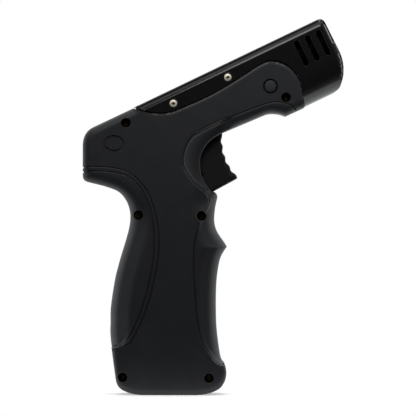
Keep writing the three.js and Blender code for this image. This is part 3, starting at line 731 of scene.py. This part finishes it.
def casing_height(points):
    """How far out the casing stands at each point."""
    x, z = points.T
    edge = distance_to(points, CASING_EDGE)[0]
    seam = distance_to(points, SEAM_LINE)[0]
    rear = panel_share(points, REAR_GROOVE_INNER, [(-70, 24), (-70, 111)])
    front = panel_share(points, FRONT_GROOVE, [(80, 15), (80, 141)])
    foot = 1 - ramp(z, *FOOT_TO_FLANK)
    flank = (1 - foot) * quarter_round(edge, *FLANK_ROUND) + foot * quarter_round(edge, *FOOT_ROUND)
    shoulder = np.clip(1 - np.hypot(x - SHOULDER[0], z - SHOULDER[1]) / SHOULDER_REACH, 0, 1) ** 2
    flank = flank + SHOULDER_DROP * shoulder
    rump = ramp(z, *PALM_TO_RUMP)
    palm = soft_slope(edge, *PALM_SLOPE) + quarter_round(edge, *PALM_ROUND)
    back = rump * quarter_round(edge, *RUMP_ROUND) + (1 - rump) * palm
    arm = ramp(x + (z - 130) * 0.3, *GUARD_TO_ARM_X) * ramp(z, *GUARD_TO_ARM_Z)
    steepness = FINGER_STEEPNESS + EXTRA_ABOVE_STEP * ramp(z, *FINGER_STEP)
    fingers = soft_slope(edge, FINGER_START, steepness, FINGER_EASE) + quarter_round(edge, *FINGER_ROUND)
    dish = GUARD_DEPTH * (1 - np.clip(edge / GUARD_WIDTH, 0, 1) ** GUARD_CURVE)
    trigger_guard = dish + quarter_round(edge, *GUARD_LIP)
    beside_trigger = ramp(z, *FINGERS_TO_GUARD)
    nose = beside_trigger * trigger_guard + (1 - beside_trigger) * fingers
    belly = arm * quarter_round(edge, *ARM_ROUND) + (1 - arm) * nose
    fall = (1 - rear) * (1 - front) * flank + rear * back + front * belly
    ease = ramp(x, *SEAM_EASE_X) * quarter_round(seam, *SEAM_ROUND)
    return CASE_HALF - fall - ease


def casing_surface(points):
    moved = gather(points, CASING_EDGE, 2.5)
    moved = gather(moved, SEAM_LINE, 0.9)
    return moved, casing_height(moved)


def on_casing(line, sink):
    """The line laid on the casing's side, sunk by a little."""
    heights = casing_height(line)
    return [(x, sink - out, z) for (x, z), out in zip(line, heights)]


def down_the_wall(end):
    """From the end of a groove, across the edge of the half to its parting plane."""
    x, _, z = end
    return [(x, y, z) for y in np.linspace(end[1], 0.5, 8)]


CASING_WALL = 2.4
PARTING = 0.12
GROOVE_RADIUS = 0.48
GROOVE_SINK = 0.12


def casing_blank():
    """A half with its hollow and its grooves, before the holes that differ between the halves."""
    fine, coarse = ((0.7, 2.0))
    outline = np.vstack([CASING_EDGE, SEAM_LINE])
    half = moulded(outline, casing_surface, fine, PARTING)
    room = hollow_ring(CASING_EDGE, SEAM_LINE, CASING_WALL)
    inner = moulded(room, lambda p: (p, casing_height(p) - CASING_WALL), coarse, -1.0)
    cuts = [inner]
    for groove in (REAR_GROOVE_OUTER, REAR_GROOVE_INNER, FRONT_GROOVE):
        path = on_casing(groove, GROOVE_SINK)
        path = down_the_wall(path[0])[::-1] + path + down_the_wall(path[-1])
        cuts.append(swept(path, GROOVE_RADIUS))
    return combine(half, cuts)


print(f"casing edge {len(CASING_EDGE)} points, seam {len(SEAM_LINE)} points")
blank = casing_blank()
print(f"casing blank: {len(blank.faces)} faces")

# %% [markdown]
# ## Posts and holes
# The screws go through posts inside the left half and bite into posts in the right one. Only the left
# half has the deep recesses for the heads, the hole for the lock button and the oval on the hump. The
# trigger's channel and the foot's opening are cut from both.

# %% Cutting the halves
BODY_SCREWS = [middle(f"casing_screw_{n}") for n in range(1, 7)]
RECESS_RADIUS, RECESS_DEPTH, POST_RADIUS = 2.35, 11.2, 3.0
LEVER_PIVOT = middle("lever_pin")
LOCK_AT = on_barrel(to_barrel("lock_button").x, to_barrel("lock_button").z)
LOCK_HOLE = 3.7
OVAL_AT, OVAL_SIZE = (-28.8, 125.0), (5.3, 4.2)
OVAL_WIDTH, OVAL_DEPTH = 1.1, 0.7
POST_TOP, PIVOT_POST_RADIUS, PIVOT_HOLE = 15.2, 2.8, 1.5
SHANK_HOLE, PILOT_HOLE, PILOT_DEPTH = 1.3, 1.15, 9.6
CHANNEL = (12.9, -7.1, -43.1), (40.5, 1, -9.5)
FOOT_OPENING = (-15.3, -11.3, -1), (15.3, 1, 4.8)


def sunk_hole(radius, floor, face, at, chamfer=0.25):
    """A round cutter whose mouth is eased where it meets the face."""
    out = face + 1
    profile = [(0, floor), (radius, floor), (radius, face - chamfer), (radius + chamfer + 1, out), (0, out)]
    return turned(profile, at)


def oval_ring(at, size, width, depth):
    """A cutter for an oval groove round a low pad."""
    outer = rod(1, -CASE_HALF - 1, -CASE_HALF + depth, (0, 0), 64)
    bmesh.ops.scale(outer, vec=(size[0], 1, size[1]), verts=outer.verts)
    pad = rod(1, -CASE_HALF + 0.15, -CASE_HALF + 3, (0, 0), 64)
    bmesh.ops.scale(pad, vec=(size[0] - width, 1, size[1] - width), verts=pad.verts)
    ring = combine(outer, [pad])
    bmesh.ops.translate(ring, vec=(at[0], 0, at[1]), verts=ring.verts)
    return ring


def seam_lip():
    """A tongue behind the rear of the seam, which keeps light out of the gap beside the hood."""
    rear = SEAM_LINE[-22:-2]
    root = np.vstack([beside(rear, 2.2), beside(rear, 0.4)[::-1]])
    tongue = np.vstack([beside(rear, 2.0), beside(rear, -2.0)[::-1]])
    return [prism(root, -15, -12.7), prism(tongue, -13.8, -12.6)]


def with_posts(half):
    """The half with its screw and pivot posts and seam lip, and the openings that both halves share."""
    posts = []
    for p in BODY_SCREWS:
        turn = np.linspace(0, 2 * math.pi, 24, endpoint=False)
        rim = np.stack([p.x + POST_RADIUS * np.cos(turn), p.z + POST_RADIUS * np.sin(turn)], axis=1)
        top = min(POST_TOP, casing_height(rim).min() - 0.5)
        posts.append(rod(POST_RADIUS, -top, -PARTING, (p.x, p.z), 24))
    posts.append(rod(PIVOT_POST_RADIUS, -POST_TOP, -5, (LEVER_PIVOT.x, LEVER_PIVOT.z), 24))
    joined = combine(half, [*posts, *seam_lip()], "UNION")
    shared = [
        block(*CHANNEL, BARREL),
        block(*FOOT_OPENING),
        rod(PIVOT_HOLE, -12, -4, (LEVER_PIVOT.x, LEVER_PIVOT.z), 24),
    ]
    return combine(joined, shared)


blank = with_posts(blank)
recesses = [sunk_hole(RECESS_RADIUS, RECESS_DEPTH, CASE_HALF, (p.x, p.z)) for p in BODY_SCREWS]
shank_holes = [rod(SHANK_HOLE, -RECESS_DEPTH - 1, 1, (p.x, p.z), 24) for p in BODY_SCREWS]
lock_hole = sunk_hole(LOCK_HOLE, 12.5, CASE_HALF, LOCK_AT, 0.15)
pilot_holes = [rod(PILOT_HOLE, -PILOT_DEPTH, 1, (p.x, p.z), 24) for p in BODY_SCREWS]
hump_oval = oval_ring(OVAL_AT, OVAL_SIZE, OVAL_WIDTH, OVAL_DEPTH)
left_half = combine(blank.copy(), [*recesses, *shank_holes, lock_hole, hump_oval])
right_half = mirrored(combine(blank, pilot_holes))
finish_piece(left_half, "left_half", "casing", grained_abs, ["casing_left"])
finish_piece(right_half, "right_half", "casing", grained_abs, ["casing_right"])

# %% [markdown]
# ## The hood
# The hood is one moulding, U-shaped in section: a flat top with a narrower raised strip, straight sides
# and a full, nearly half-round underside. It is modelled in the barrel's frame as half a relief. The
# hollow, the mouth, the vents and the screw recesses are cut, and it is welded to its mirror image.

# %% The hood's lines, in the barrel's frame
HOOD_EDGE = chain(
    straight((82.1, -24.4), (97.7, -24.4)),
    smooth_line([(97.7, -24.4), (101.4, -23.6), (103.2, -22.1), (105.9, -18.9), (107.8, -15.4),
                 (109.1, -11.6), (109.6, -7.5)]),
    straight((109.6, -7.5), (109.35, 8.8)),
    bend((109.35, 8.8), (109.1, 11.9), (106.2, 12), 0.5),
    straight((106.2, 12), (5.2, 12)),
)  # fmt: skip
HOOD_SEAM = smooth_line([(x + 0.4, z + 0.35) for x, z in SEAM_POINTS])
HOOD_SEAM[0], HOOD_SEAM[-1] = HOOD_EDGE[-1], HOOD_EDGE[0]
STRIP_HALF = 12.5
SIDE_TOP = 10.9
SIDE_PANEL = chain(
    straight((-10, SIDE_TOP), (105.4, SIDE_TOP)),
    bend((105.4, SIDE_TOP), (108.5, SIDE_TOP), (108.7, 7.7), 0.6),
    straight((108.7, 7.7), (108.9, -7.5)),
    smooth_line([(108.9, -7.5), (108.4, -11.3), (107.1, -15), (105.2, -18.4), (102.6, -21.5),
                 (101, -22.9), (97.6, -23.8)]),
)  # fmt: skip
PANEL_RING = np.vstack([SIDE_PANEL, [(97.6, -40), (-10, -40)]])
BELLY_Z = HOOD_HALF - 24.4
BELLY_FULLNESS = 2.4
HOOD_WALL = 2.0
MOUTH_RADIUS = 9.2
VENTS_X = (91.9, 97.9, 103.9)
VENT_WIDTH, VENT_LENGTH, VENT_MIDDLE = 2.75, 14.0, 0.3
HOOD_SCREWS_X, HOOD_SCREWS_Z = (23.8, 53.8), 5.2
HOOD_RECESS_FLOOR = 15.1


def hood_height(points, wall=0.0):
    """How far out the hood stands at each point. A wall gives the hollow's height instead."""
    panel_edge = distance_to(points, SIDE_PANEL)[0]
    side = HOOD_HALF - wall - soft_slope(panel_edge, 2.5, 0.72, 0.8)
    strip = STRIP_HALF - wall - quarter_round(distance_to(points, HOOD_EDGE)[0], 0.55, 0.6)
    height = np.where(inside(points, PANEL_RING), side, strip)
    half = HOOD_HALF - wall
    below = np.clip((BELLY_Z - points[:, 1]) / half, 0, 1)
    belly = half * (1 - below**BELLY_FULLNESS) ** (1 / BELLY_FULLNESS)
    return np.minimum(height, belly)


def hood_surface(points):
    moved = gather(points, SIDE_PANEL, 1.0)
    moved = gather(moved, HOOD_EDGE[:18], 4.0)
    moved = gather(moved, HOOD_EDGE[18:], 0.9)
    return moved, hood_height(moved)


def stadium(centre, width, length):
    """A slot's outline with round ends, long across the barrel."""
    turn = np.linspace(0, math.pi, 13)
    arc = np.stack([np.cos(turn), np.sin(turn)], axis=1) * width / 2
    lift = np.array([0, (length - width) / 2])
    return np.vstack([arc + lift, -arc - lift]) + np.array(centre)


def flared(outline, deep, face, chamfer):
    """A cutter with an eased mouth, from y = -deep out past the face."""
    tool = prism(outline, -face - 1, -deep)
    bmesh.ops.bisect_plane(
        tool,
        geom=[*tool.verts, *tool.edges, *tool.faces],
        plane_co=(0, chamfer - face, 0),
        plane_no=(0, 1, 0),
    )
    middle_of = outline.mean(axis=0)
    grow = 1 + (1 + chamfer) * 2 / (outline.max(axis=0) - outline.min(axis=0))
    for vert in tool.verts:
        if vert.co.y < -face - 0.5:
            vert.co.x = middle_of[0] + (vert.co.x - middle_of[0]) * grow[0]
            vert.co.z = middle_of[1] + (vert.co.z - middle_of[1]) * grow[1]
    return tool


# %% The hood
def hood_half():
    fine, coarse = ((0.65, 2.0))
    outline = np.vstack([HOOD_EDGE, HOOD_SEAM])
    half = moulded(outline, hood_surface, fine, 0)
    room = hollow_ring(HOOD_EDGE, HOOD_SEAM, HOOD_WALL)
    cuts = [moulded(room, lambda p: (p, hood_height(p, HOOD_WALL)), coarse, -1.0)]
    for x in VENTS_X:
        slot = stadium((x, VENT_MIDDLE), VENT_WIDTH, VENT_LENGTH)
        cuts.append(flared(slot, HOOD_HALF - 4, HOOD_HALF, 0.12))
    for x in HOOD_SCREWS_X:
        cuts.append(sunk_hole(RECESS_RADIUS, HOOD_RECESS_FLOOR, HOOD_HALF, (x, HOOD_SCREWS_Z), 0.2))
        cuts.append(rod(SHANK_HOLE, -15.5, -12, (x, HOOD_SCREWS_Z), 24))
    mouth = bmesh.new()
    lie_along = Matrix.Translation((108, 0, 0)) @ Matrix.Rotation(math.pi / 2, 4, "Y")
    bmesh.ops.create_cone(
        mouth,
        cap_ends=True,
        segments=64,
        radius1=MOUTH_RADIUS,
        radius2=MOUTH_RADIUS,
        depth=10,
        matrix=lie_along,
    )
    cuts.append(mouth)
    return combine(half, cuts)


hood = welded_halves(hood_half())
bmesh.ops.transform(hood, matrix=BARREL, verts=hood.verts)
finish_piece(hood, "burner_hood", "casing", polished_abs, ["hood"])

# %% [markdown]
# ## The trigger
# The trigger is a solid block of nylon with finger ridges. A tongue at its back pushes the valve
# lever, and a rail beside the burner carries the lug that the lock button blocks. It could be a
# bevelled box, but its ridges and rounded edges follow one curved outline. So it is moulded as half a
# relief, like the casing, and welded to its mirror image.

# %% The trigger, in the barrel's frame
TRIGGER_HALF = 6.5
RIDGE_PITCH, RIDGE_HEIGHT = 5.15, 0.35


def finger_edge():
    """The ridged front, a shallow curve for the finger."""
    z = np.linspace(-41.8, -18.3, 48)
    ridges = RIDGE_HEIGHT * np.cos(2 * math.pi * (z + 24.5) / RIDGE_PITCH)
    return np.stack([35.15 + 0.02 * (z + 32.6) ** 2 + ridges, z], axis=1)


TRIGGER_EDGE = chain(
    straight((20.2, -42.9), (35.8, -42.1)),
    finger_edge(),
)
TRIGGER_BACK = chain(
    straight(TRIGGER_EDGE[-1], (34, -10)),
    straight((34, -10), (22, -10)),
    straight((22, -10), (22, -33)),
    straight((22, -33), (20.2, -34.5)),
    straight((20.2, -34.5), (20.2, -42.8)),
)


def trigger_surface(points):
    moved = gather(points, TRIGGER_EDGE, 1.4)
    edge = distance_to(moved, TRIGGER_EDGE)[0]
    return moved, TRIGGER_HALF - quarter_round(edge, 1.3, 1.3)


trigger_ring = np.vstack([TRIGGER_EDGE, TRIGGER_BACK[1:]])
trigger = welded_halves(moulded(trigger_ring, trigger_surface, 0.6, 0))
tongue = block((17.6, -2, -35), (23, 2, -29))
rail = block((25, -7.2, -12.5), (76.5, -5.5, -6.2))
lug = block((73.5, -9.2, -9.4), (75.5, -5.6, -6.4))
trigger = combine(trigger, [tongue, rail, lug], "UNION")
bmesh.ops.transform(trigger, matrix=BARREL, verts=trigger.verts)
finish_piece(trigger, "finger_trigger", "trigger", trigger_nylon, ["trigger"])

# %% [markdown]
# ## Screws
# One small pan-head screw with a cross recess serves everywhere. The body screws sit at the bottom of
# deep recesses, and the hood screws are shorter and stand a little proud. The cross could be a bump in
# the material, but a bump has no walls to catch the light. So a profile is spun about the screw's axis,
# and the cross is cut out of it.

# %% Screws
HEAD_RADIUS, HEAD_HEIGHT, SHANK_RADIUS = 1.95, 1.5, 1.1
BODY_SEAT, BODY_LENGTH = 11.5, 20.5
HOOD_SEAT, HOOD_LENGTH = 15.4, 8
ARM_REACH, ARM_HALF = 0.9, 0.34
# Painted shade fills the cross recesses of the hood screws: a brown, dull colour that stands for the shade
# inside the cross.
recess_painted_shade = metal("painted_recess_shade", "#5a3417", "#8a5a2c", (0.4, 0.6), 0.4, 0.8)
# The body screws are steel plated with black zinc, darkened further as painted shade for the deep recesses
# they sit in. Their brassy patches are painted glints.
dark_zinc_and_painted_shade = metal("black_zinc_steel_with_painted_shade", "#1c1810", "#7a6634", (0.25, 0.45), 0.5, 1.0)


def screw(at, seat, length, facing):
    """A screw whose head rests on the seat, a distance out from the middle plane."""
    profile = [
        (0, seat + HEAD_HEIGHT),
        (0.9, seat + HEAD_HEIGHT - 0.05),
        (1.5, seat + HEAD_HEIGHT - 0.25),
        (1.85, seat + HEAD_HEIGHT - 0.65),
        (HEAD_RADIUS, seat + 0.5),
        (HEAD_RADIUS, seat),
        (SHANK_RADIUS, seat),
        (SHANK_RADIUS, seat - length + 1),
        (0.3, seat - length),
        (0, seat - length),
    ]
    body = turned(profile, at, facing, 32)
    low, high = sorted((facing * (seat + HEAD_HEIGHT - 0.9), facing * (seat + 3)))
    arms = [
        block((at[0] - ARM_REACH, low, at[1] - ARM_HALF), (at[0] + ARM_REACH, high, at[1] + ARM_HALF)),
        block((at[0] - ARM_HALF, low, at[1] - ARM_REACH), (at[0] + ARM_HALF, high, at[1] + ARM_REACH)),
    ]
    return combine(body, arms)


def in_recess(at, seat):
    """A test for the faces of a screw's cross recess."""

    def test(centre):
        off_axis = math.hypot(centre.x - at[0], centre.z - at[1])
        return off_axis < ARM_REACH + 0.02 and seat + 0.3 < abs(centre.y) < seat + HEAD_HEIGHT - 0.12

    return test


for number, place in enumerate(BODY_SCREWS, 1):
    body_screw = screw((place.x, place.z), BODY_SEAT, BODY_LENGTH, -1)
    nodes = [f"casing_screw_{number}"]
    # The body screws take the near-black colour of painted recess shade, with painted glints.
    finish_piece(body_screw, f"body_screw_{number}", "casing", dark_zinc_and_painted_shade, nodes, 30)
for side, facing in (("left", -1), ("right", 1)):
    for end, x in zip(("rear", "front"), HOOD_SCREWS_X):
        node = f"hood_screw_{side}_{end}"
        place = on_barrel(x, HOOD_SCREWS_Z)
        short_screw = screw(place, HOOD_SEAT, HOOD_LENGTH, facing)
        # The faces of the cross recess get the brown painted shade.
        painted_recess = (recess_painted_shade, in_recess(place, HOOD_SEAT))
        finish_piece(short_screw, f"{node}_head", "casing", zinc_screws, [node], 30, painted_recess)

# %% [markdown]
# ## The lock button
# A round button whose textured face is level with the casing. Its flange keeps it behind the wall. It is
# round all through, so one profile is spun about its axis, and the texture is left to the material.

# %% The lock button
cap_profile = [
    (0, 16.95), (2.2, 16.95), (2.75, 16.85), (3.0, 16.6), (3.05, 16.3), (3.05, 14.0),
    (4.6, 14.0), (4.6, 12.8), (1.5, 12.8), (1.5, 10.2), (1.3, 10.0), (0, 10.0),
]  # fmt: skip
finish_piece(
    turned(cap_profile, LOCK_AT), "lock_cap", "lock_button", button_nylon, ["lock_button"], 30
)

# %% [markdown]
# ## The burner
# A steel tube in a heat guard, seen dark through the vents. Heat has turned the steel dark brown. Plain
# cylinders would have no wall at their open ends, so each is a closed profile of its wall, spun about the
# burner's axis.


# %% The burner, in the barrel's frame
def turned_on_barrel(profile, lift=0.0, sides=64):
    """A closed profile of (along, radius), turned about the burner's axis or a parallel one."""
    bm = bmesh.new()
    ring = [bm.verts.new((along, 0, radius)) for along, radius in profile]
    edges = [bm.edges.new(pair) for pair in zip(ring, ring[1:] + ring[:1])]
    bmesh.ops.spin(
        bm,
        geom=ring + edges,
        cent=(0, 0, 0),
        axis=(1, 0, 0),
        angle=2 * math.pi,
        steps=sides,
        use_merge=True,
    )
    bmesh.ops.remove_doubles(bm, verts=bm.verts, dist=1e-4)
    bmesh.ops.recalc_face_normals(bm, faces=bm.faces)
    bmesh.ops.transform(bm, matrix=BARREL @ Matrix.Translation((0, 0, lift)), verts=bm.verts)
    return bm


# The burner's drawn steel is browned by heat, which takes most of its shine.
burnt_steel = metal("heat_tinted_steel", "#0d0b0a", "#241e17", (0.5, 0.7), 0.8, 6.0)
guard_profile = [(86, 8.4), (109.2, 8.4), (109.4, 8.6), (109.4, 8.8), (109.2, 9.0), (86, 9.0)]
tube_profile = [(60.3, 4.8), (106, 4.8), (106, 5.5), (104.5, 5.5), (104.2, 5.2), (103.9, 5.5), (60.3, 5.5)]
finish_piece(
    turned_on_barrel(guard_profile), "guard_sleeve", "casing", burnt_steel, ["heat_guard"], 40
)
finish_piece(
    turned_on_barrel(tube_profile), "flame_tube", "casing", burnt_steel, ["burner_tube"], 40
)

# %% [markdown]
# ## The rest of the works
# The parts inside the casing are hidden, and the base plate and its two fittings show only from below.
# They could be modelled again, but the frame's own shapes serve. Each takes the finish of its material.

# %% Finishes of the inner parts
for node in frame["nodes"].values():
    finish = SLOT_FINISH[node.data.materials[0].name.split(".")[0]]
    node.data.materials.clear()
    node.data.materials.append(finish)
print(f"{len(frame['nodes'])} nodes in the frame")
